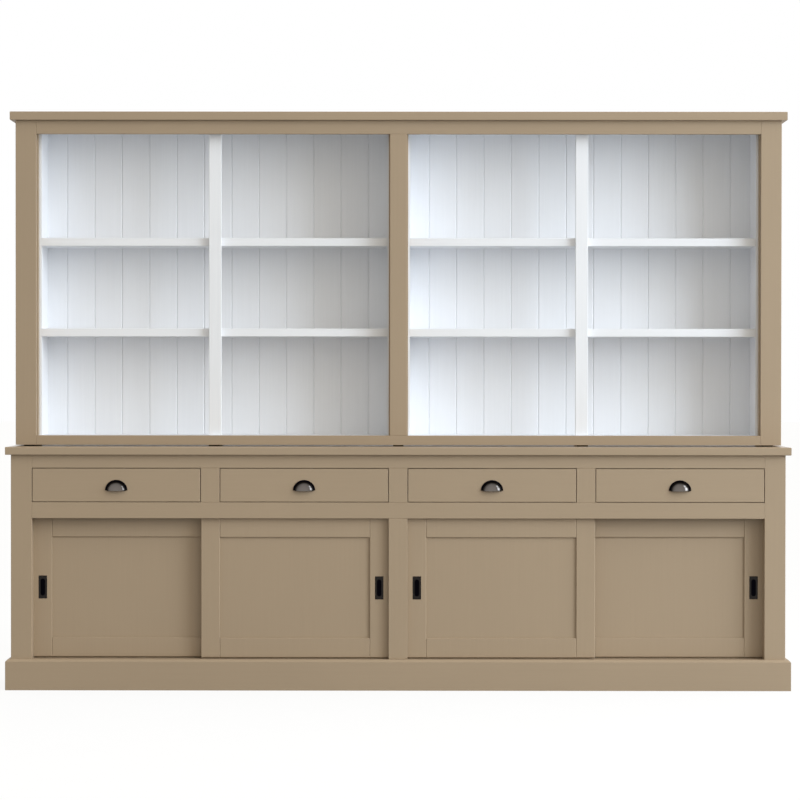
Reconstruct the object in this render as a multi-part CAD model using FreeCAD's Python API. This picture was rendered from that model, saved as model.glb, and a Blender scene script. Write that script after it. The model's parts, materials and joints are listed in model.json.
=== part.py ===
import FreeCAD
import Part
import math
import os

# Large painted buffet cabinet in two stacked units, millimetres.
# Lower unit: four drawers over four sliding doors. Upper unit: open shelves.
# The origin is on the floor, at the middle of the width and of the depth.
# X runs along the width, the front faces -Y and Z points up.

# Overall sizes
cabinet_width = 3000.0
worktop_depth = 460.0
upper_depth = 290.0
trim_overhang = 20.0
eased_edge = 1.0
rounded_edge = 3.0
running_gap = 0.3
overrun = 5.0
match_tolerance = 0.01

# Heights of the lower unit, from the floor up
plinth_height = 118.0
door_opening_height = 538.5
middle_rail_height = 61.5
drawer_opening_height = 131.0
lower_top_rail_height = 50.0
worktop_thickness = 30.0

# Heights of the upper unit, from the worktop up
foot_height = 5.0
upper_bottom_rail_height = 37.0
lower_bay_height = 383.5
middle_bay_height = 320.5
upper_bay_height = 399.0
shelf_thickness = 31.0
upper_top_rail_height = 52.0
cornice_thickness = 33.0

# Face frames
lower_frame_thickness = 18.0
upper_frame_thickness = 25.0
lower_stile_width = 80.0
upper_stile_width = 80.0
centre_post_width = 72.0
centre_stile_width = 66.0
muntin_width = 72.0

# Boards of the two carcasses
side_thickness = 25.0
floor_thickness = 22.0
divider_thickness = 22.0
deck_thickness = 18.0
back_panel_thickness = 8.0
bearer_thickness = 18.0
bearer_setback = 12.0
bottom_rail_height = 78.0
upper_side_thickness = 18.0
upper_floor_thickness = 25.0
upper_top_thickness = 18.0
cupboard_shelf_thickness = 18.0
cupboard_shelf_height = 270.0
cleat_size = 18.0

# Plinth
plinth_thickness = 20.0
plinth_chamfer = 9.0

# Lining, posts and back boards of the open shelves
lining_thickness = 18.0
backing_post_reveal = 4.0
outer_lining_reveal = 9.0
centre_lining_reveal = 7.0
shelf_post_width = 48.0
shelf_post_depth = 22.0
shelf_post_setback = 20.0
shelf_post_centre = 711.0
back_board_thickness = 12.0
back_board_width = 108.25
first_back_joint = 119.3
back_joint_bevel = 3.0

# Feet between the two units
foot_size = 40.0
foot_inset = 30.0
feet_along = 5

# Drawers
drawer_gap = 2.25
drawer_front_thickness = 18.0
drawer_wall = 12.0
drawer_side_height = 110.0
drawer_side_gap = 4.0
drawer_box_length = 390.0
drawer_floor_thickness = 6.0
drawer_floor_raise = 6.0
drawer_guide_width = 25.0
drawer_guide_height = 30.0
drawer_guide_clearance = 0.5
kicker_width = 50.0
kicker_clearance = 1.7

# Cup pulls
cup_width = 85.0
cup_height = 40.0
cup_projection = 20.0
cup_wall = 2.0
cup_flange = 6.0
cup_lip = 2.0
cup_flange_thickness = 2.5
cup_boss_radius = 4.0
cup_boss_length = 9.0
cup_boss_height = 9.0
cup_screw_spacing = 64.0
screw_radius = 2.0
screw_head_radius = 4.0
screw_head_height = 2.5
screw_bite = 7.0
thread_clearance = 0.05
screw_hole_clearance = 0.25

# Sliding doors
door_thickness = 28.0
door_stile_width = 72.0
door_top_rail_shown = 73.0
door_bottom_rail_height = 74.0
door_lap = 6.0
door_rounding = 2.5
door_bottom_gap = 5.5
door_top_hidden = 33.5
door_frame_gap = 2.0
door_pass_gap = 5.0
panel_thickness = 8.0
panel_setback = 8.0
panel_tongue = 8.0
panel_end_gap = 1.0
panel_groove_clearance = 0.2

# Tracks of the sliding doors
track_thickness = 9.0
track_groove_depth = 7.0
track_groove_clearance = 0.5
runner_width = 3.0
runner_root = 6.0
guide_base = 2.0
guide_drop = 16.0
guide_flange = 1.5
stop_height = 30.0

# Flush pulls
flush_width = 32.0
flush_height = 88.0
flush_proud = 1.0
flush_plate = 2.0
flush_recess_width = 17.5
flush_recess_height = 65.0
flush_recess_depth = 10.0
flush_wall = 1.2
flush_corner = 1.5
flush_clearance = 0.2
flush_bevel = 1.0

# Places across the width
half_width = cabinet_width / 2
body_half = half_width - trim_overhang
lower_opening_half = body_half - lower_stile_width
upper_opening_half = body_half - upper_stile_width
post_half = centre_post_width / 2
side_face = body_half - side_thickness
divider_half = divider_thickness / 2
drawer_opening = (lower_opening_half - post_half - muntin_width) / 2
drawer_centre_inner = post_half + drawer_opening / 2
drawer_centre_outer = lower_opening_half - drawer_opening / 2
muntin_centre = post_half + drawer_opening + muntin_width / 2
drawer_centres = [-drawer_centre_outer, -drawer_centre_inner, drawer_centre_inner, drawer_centre_outer]

# Places through the depth
back = worktop_depth / 2
front = -back
lower_front = front + trim_overhang
frame_back = lower_front + lower_frame_thickness
runner_start = max(frame_back, lower_front + drawer_front_thickness + drawer_guide_clearance)
back_panel_face = back - back_panel_thickness
upper_front = back - upper_depth
upper_frame_back = upper_front + upper_frame_thickness
shelf_post_face = upper_frame_back + shelf_post_setback
shelf_front = shelf_post_face + shelf_post_depth
cornice_front = upper_front - trim_overhang
back_board_face = back - back_board_thickness

# Places up the height
middle_rail_bottom = plinth_height + door_opening_height
drawer_opening_bottom = middle_rail_bottom + middle_rail_height
drawer_opening_top = drawer_opening_bottom + drawer_opening_height
worktop_bottom = drawer_opening_top + lower_top_rail_height
worktop_top = worktop_bottom + worktop_thickness
upper_bottom = worktop_top + foot_height
bay_floor = upper_bottom + upper_bottom_rail_height
lower_shelf_bottom = bay_floor + lower_bay_height
upper_shelf_bottom = lower_shelf_bottom + shelf_thickness + middle_bay_height
top_rail_bottom = upper_shelf_bottom + shelf_thickness + upper_bay_height
cornice_bottom = top_rail_bottom + upper_top_rail_height
cornice_top = cornice_bottom + cornice_thickness
upper_top_bottom = cornice_bottom - upper_top_thickness

# Places of the sliding doors
deck_bottom = drawer_opening_bottom - deck_thickness
door_bottom = plinth_height + door_bottom_gap
door_top = middle_rail_bottom + door_top_hidden
bay_width = lower_opening_half - post_half
door_width = (bay_width + 2 * door_lap + door_stile_width) / 2
front_door_face = frame_back + door_frame_gap
rear_door_face = front_door_face + door_thickness + door_pass_gap
track_back = rear_door_face + door_thickness
door_zone_back = track_back + door_frame_gap
runner_middles = [front_door_face + door_thickness / 2, rear_door_face + door_thickness / 2]


def block(x_span, y_span, z_span):
    """Rectangular board between two places on each axis."""
    size = [high - low for low, high in (x_span, y_span, z_span)]
    corner = FreeCAD.Vector(x_span[0], y_span[0], z_span[0])
    return Part.makeBox(size[0], size[1], size[2], corner)


def mirrored(shape):
    """The same piece on the other side of the middle."""
    return shape.mirror(FreeCAD.Vector(0, 0, 0), FreeCAD.Vector(1, 0, 0))


def pair(shape):
    return [shape, mirrored(shape)]


def edges_on_front(shape, y_place):
    """Edges that lie wholly in the plane at y_place."""
    chosen = []
    for edge in shape.Edges:
        box = edge.BoundBox
        if abs(box.YMin - y_place) < match_tolerance and abs(box.YMax - y_place) < match_tolerance:
            chosen.append(edge)
    return chosen


def eased_front(shape):
    """Board whose front arrises are taken off by a small chamfer."""
    y_place = shape.BoundBox.YMin
    return shape.makeChamfer(eased_edge, edges_on_front(shape, y_place))


def rounded_front(shape):
    """Door board whose front arrises are rounded, so joints show as soft lines."""
    y_place = shape.BoundBox.YMin
    return shape.makeFillet(door_rounding, edges_on_front(shape, y_place))


def rounded_slab(shape):
    """Slab with a rounded edge along its front and both ends."""
    box = shape.BoundBox
    chosen = []
    for edge in shape.Edges:
        span = edge.BoundBox
        level = span.ZMax - span.ZMin < match_tolerance
        at_back = span.YMin > box.YMax - match_tolerance
        if level and not at_back:
            chosen.append(edge)
    return shape.makeFillet(rounded_edge, chosen)


def save(name, solids):
    """One file per named piece or group of like pieces."""
    for solid in solids:
        if not solid.isValid() or solid.Volume <= 0:
            print("bad solid in", name)
    shape = solids[0] if len(solids) == 1 else Part.makeCompound(solids)
    shape.exportStep(os.path.join("parts", name + ".step"))


def lower_carcass():
    """Sides, floor, divider, back and the bearers that stand on the ground."""
    side = block((side_face, body_half), (frame_back, back), (0, worktop_bottom))
    save("base_sides", pair(side))
    floor_bottom = plinth_height - floor_thickness
    across = (-side_face, side_face)
    under_track = block(across, (frame_back, track_back), (floor_bottom, plinth_height - track_thickness))
    floor = block(across, (track_back, back_panel_face), (floor_bottom, plinth_height))
    save("base_floor", [under_track, floor])
    full_height = (plinth_height, worktop_bottom)
    divider = block((-divider_half, divider_half), (frame_back, back_panel_face), full_height)
    save("base_divider", [divider])
    back_panel = block((-side_face, side_face), (back_panel_face, back), (floor_bottom, worktop_bottom))
    save("base_back", [back_panel])
    bearers = []
    for centre in (-muntin_centre, 0, muntin_centre):
        x_span = (centre - bearer_thickness / 2, centre + bearer_thickness / 2)
        bearers.append(block(x_span, (frame_back, back - bearer_setback), (0, floor_bottom)))
    save("floor_bearers", bearers)


def lower_frame():
    """Stiles, rails, centre post and drawer muntins of the lower face frame."""
    depth = (lower_front, frame_back)
    stile = eased_front(block((lower_opening_half, body_half), depth, (0, worktop_bottom)))
    jamb_depth = (frame_back, rear_door_face - running_gap)
    jamb = block((lower_opening_half, side_face), jamb_depth, (plinth_height, deck_bottom - guide_drop))
    save("base_outer_stiles", pair(stile) + pair(jamb))
    across = (-lower_opening_half, lower_opening_half)
    top_rail = block(across, depth, (drawer_opening_top, worktop_bottom))
    save("base_top_rail", [eased_front(top_rail)])
    middle_rail = block(across, depth, (middle_rail_bottom, drawer_opening_bottom))
    save("base_middle_rail", [eased_front(middle_rail)])
    bottom_rail = block(across, depth, (plinth_height - bottom_rail_height, plinth_height))
    save("base_bottom_rail", [bottom_rail])
    post = block((-post_half, post_half), depth, (plinth_height, middle_rail_bottom))
    save("base_centre_post", [eased_front(post)])
    muntins = []
    widths = (muntin_width, centre_post_width, muntin_width)
    for centre, width in zip((-muntin_centre, 0, muntin_centre), widths):
        x_span = (centre - width / 2, centre + width / 2)
        muntins.append(eased_front(block(x_span, depth, (drawer_opening_bottom, drawer_opening_top))))
    save("drawer_muntins", muntins)


def plinth():
    """Skirting board around the foot, chamfered on top, with mitred corners."""
    outer = block((-half_width, half_width), (front, back), (0, plinth_height))
    top_edges = []
    for edge in outer.Edges:
        box = edge.BoundBox
        on_top = box.ZMin > plinth_height - match_tolerance
        at_back = box.YMin > back - match_tolerance
        if on_top and not at_back:
            top_edges.append(edge)
    outer = outer.makeChamfer(plinth_chamfer, top_edges)
    inner_half = half_width - plinth_thickness
    inner_front = front + plinth_thickness
    height = (-overrun, plinth_height + overrun)
    inner = block((-inner_half, inner_half), (inner_front, back + overrun), height)
    ring = outer.cut(inner)
    outer_reach = half_width + overrun
    front_reach = front - overrun
    corners = [
        (-outer_reach, front_reach),
        (outer_reach, front_reach),
        (inner_half, inner_front),
        (-inner_half, inner_front),
    ]
    points = [FreeCAD.Vector(x, y, -overrun) for x, y in corners + corners[:1]]
    wedge = Part.Face(Part.makePolygon(points))
    wedge = wedge.extrude(FreeCAD.Vector(0, 0, plinth_height + 2 * overrun))
    save("plinth_front", ring.common(wedge).Solids)
    save("plinth_sides", ring.cut(wedge).Solids)


def worktop_and_cornice():
    worktop = block((-half_width, half_width), (front, back), (worktop_bottom, worktop_top))
    save("worktop", [rounded_slab(worktop)])
    cornice = block((-half_width, half_width), (cornice_front, back), (cornice_bottom, cornice_top))
    save("cornice", [rounded_slab(cornice)])


def lower_inside():
    """Decks under the drawers, shelves behind the doors and what carries them."""
    inner = (divider_half, side_face)
    deck = block(inner, (frame_back, back_panel_face), (deck_bottom, drawer_opening_bottom))
    save("drawer_decks", pair(deck))
    shelf_bottom = plinth_height + cupboard_shelf_height
    shelf_top = shelf_bottom + cupboard_shelf_thickness
    shelf = block(inner, (door_zone_back, back_panel_face), (shelf_bottom, shelf_top))
    save("cupboard_shelves", pair(shelf))
    cleat_span = (shelf_bottom - cleat_size, shelf_bottom)
    cleat_depth = (door_zone_back, back_panel_face)
    at_divider = block((divider_half, divider_half + cleat_size), cleat_depth, cleat_span)
    at_side = block((side_face - cleat_size, side_face), cleat_depth, cleat_span)
    save("shelf_cleats", pair(at_divider) + pair(at_side))


def door_tracks():
    """Grooved sill tracks, channelled head guides and end stops, one set a bay."""
    bay = (divider_half, side_face)
    groove_half = runner_width / 2 + track_groove_clearance
    groove_floor = plinth_height - track_groove_depth
    strip_starts = [frame_back] + [middle + groove_half for middle in runner_middles]
    strip_ends = [middle - groove_half for middle in runner_middles] + [track_back]
    track = [block(bay, (frame_back, track_back), (plinth_height - track_thickness, groove_floor))]
    for span in zip(strip_starts, strip_ends):
        track.append(block(bay, span, (groove_floor, plinth_height)))
    save("sill_tracks", track + [mirrored(strip) for strip in track])
    channel_top = deck_bottom - guide_base
    between = (front_door_face + door_thickness + rear_door_face) / 2
    guide = [block(bay, (frame_back, door_zone_back), (channel_top, deck_bottom))]
    for start in (frame_back, between - guide_flange / 2, door_zone_back - guide_flange):
        guide.append(block(bay, (start, start + guide_flange), (deck_bottom - guide_drop, channel_top)))
    save("head_guides", guide + [mirrored(strip) for strip in guide])
    stop_span = (plinth_height, plinth_height + stop_height)
    inner_x = (divider_half, post_half - door_lap - running_gap)
    inner_stop = block(inner_x, (front_door_face, track_back), stop_span)
    outer_x = (lower_opening_half + door_lap + running_gap, side_face)
    outer_stop = block(outer_x, (rear_door_face, track_back), stop_span)
    save("door_stops", pair(inner_stop) + pair(outer_stop))


def drawer_runners():
    """Side guides on the decks and kickers that stop a drawer from tipping."""
    guides = []
    kickers = []
    box_half = drawer_opening / 2 - drawer_side_gap
    guide_span = (drawer_opening_bottom, drawer_opening_bottom + drawer_guide_height)
    kicker_bottom = drawer_opening_bottom + running_gap + drawer_side_height + kicker_clearance
    for centre in drawer_centres:
        near = box_half + drawer_guide_clearance
        for sign in (-1, 1):
            x_span = sorted((centre + sign * near, centre + sign * (near + drawer_guide_width)))
            guides.append(block(x_span, (runner_start, back_panel_face), guide_span))
        x_span = (centre - kicker_width / 2, centre + kicker_width / 2)
        kickers.append(block(x_span, (runner_start, back_panel_face), (kicker_bottom, worktop_bottom)))
    save("drawer_guides", guides)
    save("drawer_kickers", kickers)


def screw_places(centre):
    """Where the two screws of a cup pull go through a drawer front."""
    front_bottom = drawer_opening_bottom + drawer_gap
    front_top = drawer_opening_top - drawer_gap
    cup_base = (front_bottom + front_top) / 2 - cup_height / 2
    height = cup_base + cup_boss_height
    half = cup_screw_spacing / 2
    return cup_base, [(centre - half, height), (centre + half, height)]


def along_y(radius, x_place, z_place, y_start, length):
    base = FreeCAD.Vector(x_place, y_start, z_place)
    return Part.makeCylinder(radius, length, base, FreeCAD.Vector(0, 1, 0))


def half_ellipse_plate(half_wide, high, x_place, z_place, y_start, thickness):
    """Plate in the outline of the upper half of an ellipse."""
    centre = FreeCAD.Vector(x_place, y_start, z_place)
    arc_ends = (0, math.pi)
    if half_wide >= high:
        major = centre + FreeCAD.Vector(half_wide, 0, 0)
        minor = centre + FreeCAD.Vector(0, 0, high)
        curve = Part.Ellipse(major, minor, centre)
    else:
        major = centre + FreeCAD.Vector(0, 0, high)
        minor = centre + FreeCAD.Vector(-half_wide, 0, 0)
        curve = Part.Ellipse(major, minor, centre)
        arc_ends = (-math.pi / 2, math.pi / 2)
    arc = curve.toShape(arc_ends[0], arc_ends[1])
    chord = Part.makeLine(arc.lastVertex().Point, arc.firstVertex().Point)
    face = Part.Face(Part.Wire([arc, chord]))
    return face.extrude(FreeCAD.Vector(0, thickness, 0))


def half_dome(half_wide, deep, high, x_place, y_place, z_place):
    """Front of an ellipsoid centred on the drawer's face, down to the lip."""
    ball = Part.makeSphere(half_wide)
    squeeze = FreeCAD.Matrix()
    squeeze.scale(1, deep / half_wide, high / half_wide)
    dome = ball.transformGeometry(squeeze)
    dome.translate(FreeCAD.Vector(x_place, y_place, z_place))
    x_span = (x_place - half_wide - overrun, x_place + half_wide + overrun)
    y_span = (y_place - deep - overrun, y_place)
    z_span = (z_place - cup_lip, z_place + high + overrun)
    return dome.common(block(x_span, y_span, z_span))


def cup_pull(centre):
    """Half round cup pull with a flange, two bosses and their screws."""
    cup_base, places = screw_places(centre)
    half = cup_width / 2
    dome_half = half - cup_flange
    dome_high = cup_height - cup_flange
    outer = half_dome(dome_half, cup_projection, dome_high, centre, lower_front, cup_base)
    plate_start = lower_front - cup_flange_thickness
    plate = half_ellipse_plate(half, cup_height, centre, cup_base, plate_start, cup_flange_thickness)
    hollow_half = dome_half - cup_wall
    hollow_high = dome_high - cup_wall
    hollow_deep = cup_projection - cup_wall
    hollow = half_dome(hollow_half, hollow_deep, hollow_high, centre, lower_front, cup_base)
    shell = plate.fuse(outer).cut(hollow)
    for x_place, z_place in places:
        boss = along_y(cup_boss_radius, x_place, z_place, lower_front - cup_boss_length, cup_boss_length)
        shell = shell.fuse(boss.common(outer.fuse(plate)))
    for x_place, z_place in places:
        hole_radius = screw_radius + thread_clearance
        hole = along_y(hole_radius, x_place, z_place, lower_front - screw_bite, screw_bite + overrun)
        shell = shell.cut(hole)
    inner_wall = lower_front + drawer_front_thickness + drawer_wall
    screws = []
    for x_place, z_place in places:
        shank_length = inner_wall - lower_front + screw_bite - running_gap
        shank = along_y(screw_radius, x_place, z_place, inner_wall - shank_length, shank_length)
        head = along_y(screw_head_radius, x_place, z_place, inner_wall, screw_head_height)
        screws.append(shank.fuse(head).removeSplitter().Solids[0])
    return [shell.removeSplitter().Solids[0]] + screws


def drawer(number, centre):
    """Front, box and pull of one drawer, closed."""
    _, places = screw_places(centre)
    front_back = lower_front + drawer_front_thickness
    front_half = drawer_opening / 2 - drawer_gap
    x_span = (centre - front_half, centre + front_half)
    z_span = (drawer_opening_bottom + drawer_gap, drawer_opening_top - drawer_gap)
    face = eased_front(block(x_span, (lower_front, front_back), z_span))
    box_half = drawer_opening / 2 - drawer_side_gap
    bottom = drawer_opening_bottom + running_gap
    box_z = (bottom, bottom + drawer_side_height)
    box_back = front_back + drawer_box_length
    inner_half = box_half - drawer_wall
    left = block((centre - box_half, centre - inner_half), (front_back, box_back), box_z)
    right = block((centre + inner_half, centre + box_half), (front_back, box_back), box_z)
    inside = (centre - inner_half, centre + inner_half)
    inner_front = block(inside, (front_back, front_back + drawer_wall), box_z)
    rear = block(inside, (box_back - drawer_wall, box_back), box_z)
    floor_z = (bottom + drawer_floor_raise, bottom + drawer_floor_raise + drawer_floor_thickness)
    floor = block(inside, (front_back + drawer_wall, box_back - drawer_wall), floor_z)
    for x_place, z_place in places:
        through = along_y(
            screw_radius + screw_hole_clearance,
            x_place,
            z_place,
            lower_front - overrun,
            drawer_front_thickness + drawer_wall + 2 * overrun,
        )
        face = face.cut(through)
        inner_front = inner_front.cut(through)
    name = "drawer_%d" % number
    save(name + "_front", face.Solids)
    save(name + "_box", [left, right, inner_front.Solids[0], rear, floor])
    save(name + "_cup_pull", cup_pull(centre))


def stadium(width, height, x_place, z_place, y_start, depth):
    """Upright slot shape with round ends, from y_start into the door."""
    radius = width / 2
    straight = height / 2 - radius
    height = (z_place - straight, z_place + straight)
    core = block((x_place - radius, x_place + radius), (y_start, y_start + depth), height)
    for sign in (-1, 1):
        end = along_y(radius, x_place, z_place + sign * straight, y_start, depth)
        core = core.fuse(end)
    return core.removeSplitter()


def flush_pull(x_place, z_place, face):
    """Let-in finger pull: bevelled plate with an oval cup behind it."""
    plate_front = face - flush_proud
    half = flush_width / 2
    tall = flush_height / 2
    height = (z_place - tall, z_place + tall)
    plate = block((x_place - half, x_place + half), (plate_front, plate_front + flush_plate), height)
    upright = []
    for edge in plate.Edges:
        if edge.BoundBox.YMax - edge.BoundBox.YMin > flush_plate / 2:
            upright.append(edge)
    plate = plate.makeFillet(flush_corner, upright)
    plate = plate.makeChamfer(flush_bevel, edges_on_front(plate, plate_front))
    cup_width_out = flush_recess_width + 2 * flush_wall
    cup_height_out = flush_recess_height + 2 * flush_wall
    cup_depth = flush_recess_depth + flush_wall - flush_bevel
    cup = stadium(cup_width_out, cup_height_out, x_place, z_place, plate_front + flush_bevel, cup_depth)
    recess_start = plate_front - overrun
    recess_length = flush_recess_depth + overrun
    recess = stadium(flush_recess_width, flush_recess_height, x_place, z_place, recess_start, recess_length)
    return plate.fuse(cup).cut(recess).removeSplitter().Solids[0]


def flush_pocket(x_place, z_place, face):
    """Room in a door stile for the plate and the cup of a flush pull."""
    half = flush_width / 2 + flush_clearance
    tall = flush_height / 2 + flush_clearance
    plate_depth = flush_plate - flush_proud
    span = (z_place - tall, z_place + tall)
    seat = block((x_place - half, x_place + half), (face - overrun, face + plate_depth), span)
    width = flush_recess_width + 2 * (flush_wall + flush_clearance)
    height = flush_recess_height + 2 * (flush_wall + flush_clearance)
    depth = flush_recess_depth + flush_wall - flush_proud + flush_clearance
    return seat.fuse(stadium(width, height, x_place, z_place, face, depth))


def door(number, left_edge, face, pull_on_left):
    """Framed sliding door with a set back panel and a runner let in below, closed."""
    right_edge = left_edge + door_width
    depth = (face, face + door_thickness)
    height = (door_bottom, door_top)
    left_lap = door_lap if pull_on_left else 0
    right_lap = door_lap - left_lap
    inner_left = left_edge + left_lap + door_stile_width
    inner_right = right_edge - right_lap - door_stile_width
    rail_top = door_bottom + door_bottom_rail_height
    head_bottom = middle_rail_bottom - door_top_rail_shown
    groove_front = face + panel_setback - panel_groove_clearance
    groove_back = face + panel_setback + panel_thickness + panel_groove_clearance
    groove_reach = panel_tongue + panel_end_gap
    groove = block(
        (inner_left - groove_reach, inner_right + groove_reach),
        (groove_front, groove_back),
        (rail_top - groove_reach, head_bottom + groove_reach),
    )
    middle = face + door_thickness / 2
    runner_y = (middle - runner_width / 2, middle + runner_width / 2)
    runner_bottom = plinth_height - track_groove_depth + running_gap
    runner = block((left_edge, right_edge), runner_y, (runner_bottom, door_bottom + runner_root))
    pieces = [
        block((left_edge, inner_left), depth, height),
        block((inner_right, right_edge), depth, height),
        block((inner_left, inner_right), depth, (door_bottom, rail_top)),
        block((inner_left, inner_right), depth, (head_bottom, door_top)),
    ]
    pieces = [rounded_front(piece).cut(groove).cut(runner) for piece in pieces]
    pull_x = inner_left - door_stile_width / 2 if pull_on_left else inner_right + door_stile_width / 2
    pull_z = (door_bottom + middle_rail_bottom) / 2
    pocket = flush_pocket(pull_x, pull_z, face)
    pieces = [piece.cut(pocket).Solids[0] for piece in pieces]
    panel = block(
        (inner_left - panel_tongue, inner_right + panel_tongue),
        (face + panel_setback, face + panel_setback + panel_thickness),
        (rail_top - panel_tongue, head_bottom + panel_tongue),
    )
    name = "door_%d" % number
    save(name + "_frame", pieces + [runner])
    save(name + "_panel", [panel])
    save(name + "_flush_pull", [flush_pull(pull_x, pull_z, face)])


def upper_carcass():
    """Sides, floor, top and linings of the open unit, and the posts that back its stiles."""
    side_inner = body_half - upper_side_thickness
    side = block((side_inner, body_half), (upper_frame_back, back), (upper_bottom, cornice_bottom))
    save("upper_sides", pair(side))
    across = (-side_inner, side_inner)
    floor = block(across, (upper_frame_back, back_board_face), (bay_floor - upper_floor_thickness, bay_floor))
    save("upper_floor", [floor])
    top = block(across, (upper_frame_back, back_board_face), (upper_top_bottom, cornice_bottom))
    save("upper_top", [top])
    tall = (bay_floor, upper_top_bottom)
    post_depth = (upper_frame_back, shelf_front)
    post_edge = upper_opening_half - backing_post_reveal
    corner_post = block((post_edge, side_inner), post_depth, tall)
    centre_edge = centre_stile_width / 2 + backing_post_reveal
    centre_post = block((-centre_edge, centre_edge), post_depth, tall)
    save("backing_posts", pair(corner_post) + [centre_post])
    lining_face = post_edge - outer_lining_reveal
    lining = block((lining_face, lining_face + lining_thickness), (shelf_front, back_board_face), tall)
    centre_face = centre_edge + centre_lining_reveal
    x_span = (centre_face - lining_thickness, centre_face)
    inner_lining = block(x_span, (shelf_front, back_board_face), tall)
    save("upper_linings", pair(lining) + pair(inner_lining))
    return lining_face, centre_face


def upper_frame():
    """Stiles and rails of the upper face frame."""
    depth = (upper_front, upper_frame_back)
    stile = eased_front(block((upper_opening_half, body_half), depth, (upper_bottom, cornice_bottom)))
    save("upper_outer_stiles", pair(stile))
    across = (-upper_opening_half, upper_opening_half)
    top_rail = block(across, depth, (top_rail_bottom, cornice_bottom))
    save("upper_top_rail", [eased_front(top_rail)])
    bottom_rail = block(across, depth, (upper_bottom, bay_floor))
    save("upper_bottom_rail", [eased_front(bottom_rail)])
    half = centre_stile_width / 2
    centre = block((-half, half), depth, (bay_floor, top_rail_bottom))
    save("upper_centre_stile", [eased_front(centre)])


def shelves_and_posts(lining_face, centre_face):
    """Two long shelves a bay and the slim post in front of them."""
    post_half_width = shelf_post_width / 2
    x_span = (shelf_post_centre - post_half_width, shelf_post_centre + post_half_width)
    post = eased_front(block(x_span, (shelf_post_face, shelf_front), (bay_floor, upper_top_bottom)))
    save("shelf_posts", pair(post))
    shelves = []
    for bottom in (lower_shelf_bottom, upper_shelf_bottom):
        z_span = (bottom, bottom + shelf_thickness)
        shelf = eased_front(block((centre_face, lining_face), (shelf_front, back_board_face), z_span))
        shelves += pair(shelf)
    save("upper_shelves", shelves)


def back_board(start, end, bevel_start, bevel_end):
    """Upright board whose front corners are bevelled where it meets a neighbour."""
    points = []
    if bevel_start:
        points.append((start, back_board_face + back_joint_bevel))
        points.append((start + back_joint_bevel, back_board_face))
    else:
        points.append((start, back_board_face))
    if bevel_end:
        points.append((end - back_joint_bevel, back_board_face))
        points.append((end, back_board_face + back_joint_bevel))
    else:
        points.append((end, back_board_face))
    points.append((end, back))
    points.append((start, back))
    corners = [FreeCAD.Vector(x, y, bay_floor - upper_floor_thickness) for x, y in points]
    face = Part.Face(Part.makePolygon(corners + corners[:1]))
    return face.extrude(FreeCAD.Vector(0, 0, cornice_bottom - bay_floor + upper_floor_thickness))


def back_boards():
    """Boards with V joints that close the back, from the middle to each side."""
    last = body_half - upper_side_thickness
    joints = [0]
    place = first_back_joint
    while place < last - back_board_thickness:
        joints.append(place)
        place += back_board_width
    joints.append(last)
    right = []
    for index, (start, end) in enumerate(zip(joints, joints[1:])):
        right.append(back_board(start, end, index > 0, end < last))
    save("back_boards", [mirrored(board) for board in right] + right)


def feet():
    """Pads that hold the upper unit a little above the worktop."""
    pads = []
    span = body_half - foot_inset - foot_size / 2
    floor_depth = (upper_frame_back, back_board_face)
    rows = (floor_depth[0] + foot_size / 2, floor_depth[1] - foot_size / 2)
    pad_top = bay_floor - upper_floor_thickness
    for index in range(feet_along):
        centre = -span + 2 * span * index / (feet_along - 1)
        for row in rows:
            x_span = (centre - foot_size / 2, centre + foot_size / 2)
            y_span = (row - foot_size / 2, row + foot_size / 2)
            pads.append(block(x_span, y_span, (worktop_top, pad_top)))
    save("upper_feet", pads)


def main():
    os.makedirs("parts", exist_ok=True)
    plinth()
    lower_carcass()
    lower_frame()
    lower_inside()
    door_tracks()
    drawer_runners()
    worktop_and_cornice()
    for index, centre in enumerate(drawer_centres):
        drawer(index + 1, centre)
    outer_edge = lower_opening_half + door_lap
    inner_edge = post_half - door_lap
    door(1, -outer_edge, rear_door_face, True)
    door(2, -inner_edge - door_width, front_door_face, False)
    door(3, inner_edge, front_door_face, True)
    door(4, outer_edge - door_width, rear_door_face, False)
    lining_face, centre_face = upper_carcass()
    upper_frame()
    shelves_and_posts(lining_face, centre_face)
    back_boards()
    feet()


main()
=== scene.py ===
"""Looks of the two-part buffet cabinet: paint, wood, metal, lights and camera."""
import json
import math

import bpy
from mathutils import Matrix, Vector


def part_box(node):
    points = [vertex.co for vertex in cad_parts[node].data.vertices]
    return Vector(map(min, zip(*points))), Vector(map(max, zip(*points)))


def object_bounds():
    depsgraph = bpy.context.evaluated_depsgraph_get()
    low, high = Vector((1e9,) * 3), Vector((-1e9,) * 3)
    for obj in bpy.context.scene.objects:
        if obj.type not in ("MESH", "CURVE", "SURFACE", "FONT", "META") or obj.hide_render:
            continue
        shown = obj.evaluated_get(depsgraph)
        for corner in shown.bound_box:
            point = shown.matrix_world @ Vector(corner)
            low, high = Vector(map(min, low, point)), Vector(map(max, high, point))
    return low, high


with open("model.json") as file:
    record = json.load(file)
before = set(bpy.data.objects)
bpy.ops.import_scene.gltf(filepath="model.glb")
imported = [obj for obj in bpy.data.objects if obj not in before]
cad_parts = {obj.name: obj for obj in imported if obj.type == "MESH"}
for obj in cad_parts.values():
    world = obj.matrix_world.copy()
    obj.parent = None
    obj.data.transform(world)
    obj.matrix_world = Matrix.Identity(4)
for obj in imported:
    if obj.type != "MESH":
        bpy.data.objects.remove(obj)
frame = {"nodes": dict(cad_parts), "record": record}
cad_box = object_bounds()
nodes = frame["nodes"]
scene = bpy.context.scene

# Camera, from the lines of the photograph, in metres, degrees and pixels
image_width = 800
sensor_width = 36.0
focal_pixels = 3147.6
camera_distance = 12.0
camera_height = 1.18
camera_side = 0.0495
camera_turn = 0.2025
camera_tilt = -0.709
camera_roll = 0.05
principal_row = 420.5

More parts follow.
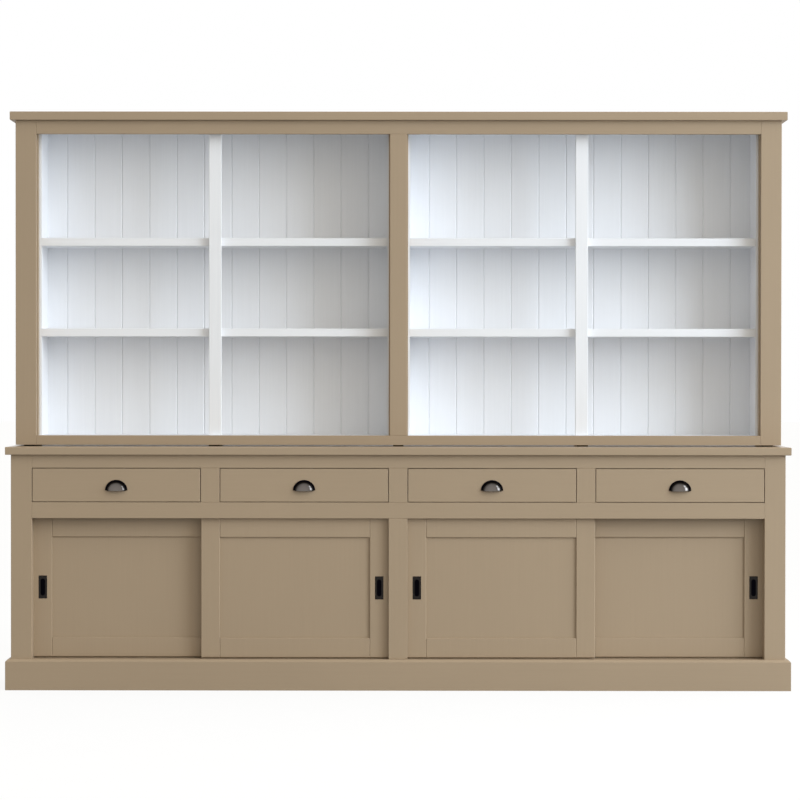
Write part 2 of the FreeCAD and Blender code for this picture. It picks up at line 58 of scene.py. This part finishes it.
# Lamps: azimuth and elevation in degrees, and watts; sizes in metres
softboxes = (
    ("key", 56.0, 8.0, 199.0),
    ("high", 56.0, 30.0, 167.0),
    ("side", 70.0, 8.0, 197.0),
)
softbox_distance = 9.0
softbox_size = 3.2
softbox_colour = (0.77, 0.88, 1.0)
aim_height = 1.3

# Soft light from all around, stronger from the right
ambient_colour = (1.0, 0.95, 0.85)
ambient_strength = 0.645
ambient_from_right = 1.65

# Pale floor: tones at two steps of its pattern, and how bright it looks and lights
floor_size = 160.0
floor_waves = 3.0
FLOOR_TONES = ((0.2, (0.90, 0.90, 0.90)), (0.8, (0.94, 0.94, 0.94)))
floor_roughness = 0.9
floor_glow_share = 0.88
floor_bounce = 0.3

# Colours, linear
TAUPE = (0.373, 0.283, 0.191)
WHITE = (0.842, 0.857, 0.890)
TRACK_BROWN = (0.09, 0.075, 0.06)
STOP_BLACK = (0.02, 0.02, 0.02)
FELT_BROWN = (0.05, 0.045, 0.04)
BRONZE = (0.050, 0.044, 0.040)
# Near black painted on the pulls behind their rims: painted shade for the flange and the recesses
BRONZE_PAINTED_SHADE = (0.0025, 0.0022, 0.0035)
WOOD_TONES = ((0.32, (0.45, 0.30, 0.16)), (0.50, (0.60, 0.44, 0.27)), (0.68, (0.516, 0.378, 0.232)))

# Steps of a pattern between which a colour goes from its darker to its lighter tone
tone_steps = (0.3, 0.7)
paint_spread = 0.03
dull_spread = 0.15

# Patterns in waves a metre: along and across the grain, or the same each way
paint_grain = (3.0, 160.0)
paint_cloud = 1.7
paint_stipple = 900.0
wood_figure = (1.6, 55.0)
bronze_cloud = 60.0
bronze_scratch = (900.0, 900.0, 120.0)
plastic_grit = 400.0
rubber_grit = 500.0
felt_grit = 900.0

# Shares of the broad pattern in the paint's tone, of the grain in its relief, and of the broad pattern in the
# pulls' painted reflection
cloud_in_tone = 0.6
grain_in_relief = 0.7
cloud_in_sheen = 0.2

# Roughness, at its least where it varies with a pattern
taupe_roughness = 0.46
lacquer_roughness = 0.26
white_roughness = 0.38
wood_roughness = 0.42
cup_roughness = 0.04
plate_roughness = 0.13
plastic_roughness = 0.5
rubber_roughness = 0.7
felt_roughness = 0.9
roughness_spread = 0.08
paint_specular = 0.4

# Relief and worn edges, in metres
paint_relief = 0.00012
paint_arris = 0.0012
wood_relief = 0.0003
bronze_relief = 0.00003
bronze_arris = 0.0008
dull_relief = 0.0001

# Shares of the bronze tone at steps from the front of a pull to its rim: a painted reflection and highlight,
# bright at the front and fading to painted shade towards the rim
rim_steps = (0.05, 0.40, 0.62, 0.90)
cup_sheen_shares = (3.5, 2.5, 0.8, 0.3)
plate_sheen_shares = (0.46, 0.44, 0.40, 0.3)

# Depths of the dark parts of the pulls, in metres
# Depths behind which the pulls are painted near black as painted shade, in metres
cup_flange_proud = 0.0028
plate_edge_depth = 0.0013

# Words in the names of painted pieces whose grain runs upright
upright_words = ("stile", "post", "muntin", "sides", "lining", "back_boards", "divider", "door")
axis_x, axis_y, axis_z = range(3)


def shade(colour, share):
    return tuple(channel * share for channel in colour)


def evenly(waves):
    return (waves, waves, waves)


def stretch_along(axis, grain):
    """Pattern that is slow along the grain and quick across it."""
    along, across = grain
    return tuple(along if index == axis else across for index in range(3))


class Graph:
    """Small helper that adds and links the nodes of one material."""

    def __init__(self, name):
        self.material = bpy.data.materials.new(name)
        self.material.use_nodes = True
        self.tree = self.material.node_tree
        self.shader = self.tree.nodes["Principled BSDF"]
        self.output = self.tree.nodes["Material Output"]

    def add(self, kind, **settings):
        node = self.tree.nodes.new(kind)
        for key, value in settings.items():
            setattr(node, key, value)
        return node

    def link(self, source, target):
        self.tree.links.new(source, target)

    def feed(self, socket, value):
        if isinstance(value, bpy.types.NodeSocket):
            self.link(value, socket)
        else:
            socket.default_value = value

    def math(self, operation, first, second):
        node = self.add("ShaderNodeMath", operation=operation)
        for socket, value in zip(node.inputs, (first, second)):
            self.feed(socket, value)
        return node.outputs[0]

    def blend(self, first, share, second):
        """Two patterns, the first by its share and the second by the rest."""
        return self.math("ADD", self.math("MULTIPLY", first, share), self.math("MULTIPLY", second, 1 - share))

    def split(self, vector):
        node = self.add("ShaderNodeSeparateXYZ")
        self.link(vector, node.inputs[0])
        return node.outputs

    def noise(self, waves, detail, distortion=0.0):
        """Noise on the object's own coordinates, stretched so that it can run along one axis."""
        coordinates = self.add("ShaderNodeTexCoord")
        mapping = self.add("ShaderNodeMapping")
        mapping.inputs["Scale"].default_value = waves
        self.link(coordinates.outputs["Object"], mapping.inputs["Vector"])
        node = self.add("ShaderNodeTexNoise")
        node.inputs["Scale"].default_value = 1.0
        node.inputs["Detail"].default_value = detail
        node.inputs["Roughness"].default_value = 0.55
        node.inputs["Distortion"].default_value = distortion
        self.link(mapping.outputs["Vector"], node.inputs["Vector"])
        return node.outputs["Fac"]

    def ramp(self, value, stops):
        node = self.add("ShaderNodeValToRGB")
        self.link(value, node.inputs["Fac"])
        elements = node.color_ramp.elements
        while len(elements) < len(stops):
            elements.new(0.5)
        for element, (place, colour) in zip(elements, stops):
            element.position = place
            element.color = (*colour, 1.0)
        return node.outputs["Color"]

    def spread(self, value, colour, share):
        """The colour, darker and lighter by a share."""
        tones = (shade(colour, 1 - share), shade(colour, 1 + share))
        return self.ramp(value, tuple(zip(tone_steps, tones)))

    def mix(self, share, first, second):
        node = self.add("ShaderNodeMix", data_type="RGBA")
        self.feed(node.inputs[0], share)
        self.feed(node.inputs[6], first)
        self.feed(node.inputs[7], second)
        return node.outputs[2]

    def colour(self, value):
        self.link(value, self.shader.inputs["Base Color"])

    def rough(self, pattern, least):
        """Roughness that goes up a little with a pattern."""
        value = self.math("ADD", self.math("MULTIPLY", pattern, roughness_spread), least)
        self.link(value, self.shader.inputs["Roughness"])

    def relief(self, height, depth, arris=None):
        """Fine relief, over edges that look softly worn where an arris is given."""
        bump = self.add("ShaderNodeBump")
        bump.inputs["Strength"].default_value = 1.0
        bump.inputs["Distance"].default_value = depth
        self.link(height, bump.inputs["Height"])
        if arris is not None:
            edge = self.add("ShaderNodeBevel", samples=4)
            edge.inputs["Radius"].default_value = arris
            self.link(edge.outputs["Normal"], bump.inputs["Normal"])
        self.link(bump.outputs["Normal"], self.shader.inputs["Normal"])


def painted_wood(name, colour, axis, roughness):
    """Satin paint over wood: roller texture, faint grain, softly worn arrises."""
    graph = Graph(name)
    grain = graph.noise(stretch_along(axis, paint_grain), 3.0, distortion=0.4)
    cloud = graph.noise(evenly(paint_cloud), 3.0)
    stipple = graph.noise(evenly(paint_stipple), 2.0)
    graph.colour(graph.spread(graph.blend(cloud, cloud_in_tone, grain), colour, paint_spread))
    graph.rough(cloud, roughness)
    graph.relief(graph.blend(grain, grain_in_relief, stipple), paint_relief, paint_arris)
    graph.shader.inputs["Specular IOR Level"].default_value = paint_specular
    return graph.material


def lacquered_wood(name):
    """Plain boards whose grain follows each board's length by the way it faces."""
    graph = Graph(name)
    geometry = graph.add("ShaderNodeNewGeometry")
    facing = graph.split(geometry.outputs["True Normal"])
    side_on = graph.math("GREATER_THAN", graph.math("ABSOLUTE", facing["X"], 0.0), 0.5)
    along_x = graph.noise(stretch_along(axis_x, wood_figure), 5.0, distortion=1.2)
    along_y = graph.noise(stretch_along(axis_y, wood_figure), 5.0, distortion=1.2)
    figure = graph.mix(side_on, along_x, along_y)
    graph.colour(graph.ramp(figure, WOOD_TONES))
    graph.relief(figure, wood_relief)
    graph.shader.inputs["Roughness"].default_value = wood_roughness
    return graph.material


def dark_bronze(name, shares, roughness, front_depth, rim_depth):
    """Dark plating with a painted reflection, brightest at the front, and painted shade near black behind the
    rim.
    """
    graph = Graph(name)
    cloud = graph.noise(evenly(bronze_cloud), 3.0)
    scratch = graph.noise(bronze_scratch, 2.0)
    coordinates = graph.add("ShaderNodeTexCoord")
    place = graph.split(coordinates.outputs["Object"])
    depth = graph.add("ShaderNodeMapRange")
    graph.link(place["Y"], depth.inputs["Value"])
    depth.inputs["From Min"].default_value = front_depth
    depth.inputs["From Max"].default_value = rim_depth
    # Depth from the pull's front, with a little random cloud, sets where the painted reflection is bright or
    # dark
    painted_sheen_reach = graph.math("ADD", depth.outputs[0], graph.math("MULTIPLY", cloud, cloud_in_sheen))
    base = graph.ramp(painted_sheen_reach, [(step, shade(BRONZE, share)) for step, share in zip(rim_steps, shares)])
    # Everything behind the rim is painted near black as painted shade
    behind = graph.math("GREATER_THAN", place["Y"], rim_depth)
    graph.colour(graph.mix(behind, base, (*BRONZE_PAINTED_SHADE, 1.0)))
    graph.shader.inputs["Metallic"].default_value = 1.0
    graph.rough(cloud, roughness)
    graph.relief(scratch, bronze_relief, bronze_arris)
    return graph.material


def dull(name, colour, roughness, grit):
    """Moulded plastic, rubber or felt: one dull colour with a fine surface."""
    graph = Graph(name)
    fine = graph.noise(evenly(grit), 3.0)
    graph.colour(graph.spread(fine, colour, dull_spread))
    graph.relief(fine, dull_relief)
    graph.shader.inputs["Roughness"].default_value = roughness
    return graph.material


def paints(name, colour, roughness):
    """The same paint with its grain along each axis."""
    return [painted_wood(name + "_" + letter, colour, axis, roughness) for axis, letter in enumerate("xyz")]


def pull_metals():
    """Bronze of each pull, by the name of its node; the cup pulls share one."""
    cup_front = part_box("drawer_1_cup_pull")[0][1]
    cup_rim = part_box("drawer_1_front")[0][1] - cup_flange_proud
    cup = dark_bronze("cup_pull_bronze", cup_sheen_shares, cup_roughness, cup_front, cup_rim)
    metals = {}
    for number in range(1, 5):
        metals["drawer_%d_cup_pull" % number] = cup
        name = "door_%d_flush_pull" % number
        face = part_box(name)[0][1]
        edge = face + plate_edge_depth
        metals[name] = dark_bronze(name + "_bronze", plate_sheen_shares, plate_roughness, face, edge)
    return metals


def dress_nodes():
    """Every CAD node gets the material of what it is made of."""
    painted = {
        "taupe_paint": paints("taupe_paint", TAUPE, taupe_roughness),
        "white_paint": paints("white_paint", WHITE, white_roughness),
    }
    plain = {
        "plain_wood": lacquered_wood("lacquered_wood"),
        "track_plastic": dull("track_plastic", TRACK_BROWN, plastic_roughness, plastic_grit),
        "black_rubber": dull("stop_rubber", STOP_BLACK, rubber_roughness, rubber_grit),
        "felt_pad": dull("foot_felt", FELT_BROWN, felt_roughness, felt_grit),
    }
    named = pull_metals()
    named["worktop"] = painted_wood("taupe_lacquer", TAUPE, axis_x, lacquer_roughness)
    for entry in frame["record"]["subparts"]:
        name, slot = entry["node"], entry["material_slot"]
        if name in named:
            material = named[name]
        elif slot in plain:
            material = plain[slot]
        else:
            upright = "plinth" not in name and any(word in name for word in upright_words)
            material = painted[slot][axis_z if upright else axis_x]
        mesh = nodes[name].data
        mesh.materials.clear()
        mesh.materials.append(material)


def look_at(item, target):
    direction = Vector(target) - item.location
    item.rotation_euler = direction.to_track_quat("-Z", "Y").to_euler()


def add_camera():
    data = bpy.data.cameras.new("camera")
    data.sensor_width = sensor_width
    data.lens = focal_pixels * sensor_width / image_width
    data.shift_y = (principal_row - image_width / 2) / image_width
    camera = bpy.data.objects.new("camera", data)
    front = cad_box[0][1]
    camera.location = (camera_side, front - camera_distance, camera_height)
    angles = (90 + camera_tilt, -camera_roll, camera_turn)
    camera.rotation_euler = [math.radians(angle) for angle in angles]
    scene.collection.objects.link(camera)
    scene.camera = camera


def add_lights():
    for name, azimuth, elevation, power in softboxes:
        data = bpy.data.lights.new(name, "AREA")
        data.shape = "RECTANGLE"
        data.size = softbox_size
        data.size_y = softbox_size
        data.energy = power
        data.color = softbox_colour
        box = bpy.data.objects.new(name, data)
        turn, rise = math.radians(azimuth), math.radians(elevation)
        reach = softbox_distance * math.cos(rise)
        lift = aim_height + softbox_distance * math.sin(rise)
        box.location = (reach * math.sin(turn), -reach * math.cos(turn), lift)
        look_at(box, (0, 0, aim_height))
        scene.collection.objects.link(box)


def seen_mask(tree):
    """One where the camera or a shiny surface sees the backdrop, nought for soft light."""
    path = tree.nodes.new("ShaderNodeLightPath")
    total = path.outputs["Is Camera Ray"]
    for name in ("Is Glossy Ray", "Is Transmission Ray"):
        join = tree.nodes.new("ShaderNodeMath")
        join.operation = "MAXIMUM"
        tree.links.new(total, join.inputs[0])
        tree.links.new(path.outputs[name], join.inputs[1])
        total = join.outputs[0]
    return total


def add_world():
    """Graded soft light, with a white backdrop where it is seen."""
    world = bpy.data.worlds.new("studio")
    world.use_nodes = True
    tree = world.node_tree
    soft = tree.nodes["Background"]
    soft.inputs["Color"].default_value = (*ambient_colour, 1.0)
    direction = tree.nodes.new("ShaderNodeTexCoord")
    parts = tree.nodes.new("ShaderNodeSeparateXYZ")
    tree.links.new(direction.outputs["Generated"], parts.inputs[0])
    rightward = tree.nodes.new("ShaderNodeMath")
    rightward.operation = "MAXIMUM"
    rightward.inputs[1].default_value = 0.0
    tree.links.new(parts.outputs["X"], rightward.inputs[0])
    strength = tree.nodes.new("ShaderNodeMath")
    strength.operation = "MULTIPLY_ADD"
    strength.inputs[1].default_value = ambient_from_right
    strength.inputs[2].default_value = ambient_strength
    tree.links.new(rightward.outputs[0], strength.inputs[0])
    tree.links.new(strength.outputs[0], soft.inputs["Strength"])
    white = tree.nodes.new("ShaderNodeBackground")
    white.inputs["Color"].default_value = (1.0, 1.0, 1.0, 1.0)
    white.inputs["Strength"].default_value = 1.0
    mix = tree.nodes.new("ShaderNodeMixShader")
    tree.links.new(seen_mask(tree), mix.inputs[0])
    tree.links.new(soft.outputs[0], mix.inputs[1])
    tree.links.new(white.outputs[0], mix.inputs[2])
    tree.links.new(mix.outputs[0], tree.nodes["World Output"].inputs[0])
    scene.world = world


def add_floor():
    """Pale floor that keeps the shadow and sends little light back up."""
    bpy.ops.mesh.primitive_plane_add(size=floor_size, location=(0, 0, 0))
    floor = bpy.context.object
    floor.name = "studio_floor"
    graph = Graph("studio_floor")
    base = graph.ramp(graph.noise(evenly(floor_waves), 2.0), FLOOR_TONES)
    mask = seen_mask(graph.tree)
    dimmer = (floor_bounce, floor_bounce, floor_bounce, 1.0)
    graph.colour(graph.mix(mask, dimmer, base))
    graph.shader.inputs["Roughness"].default_value = floor_roughness
    glow = graph.add("ShaderNodeEmission")
    glow.inputs["Strength"].default_value = 1.0
    mix = graph.add("ShaderNodeMixShader")
    graph.link(graph.math("MULTIPLY", mask, floor_glow_share), mix.inputs[0])
    graph.link(graph.shader.outputs[0], mix.inputs[1])
    graph.link(glow.outputs[0], mix.inputs[2])
    graph.link(mix.outputs[0], graph.output.inputs[0])
    floor.data.materials.append(graph.material)


dress_nodes()
add_camera()
add_lights()
add_world()
add_floor()
scene.view_settings.view_transform = "Standard"
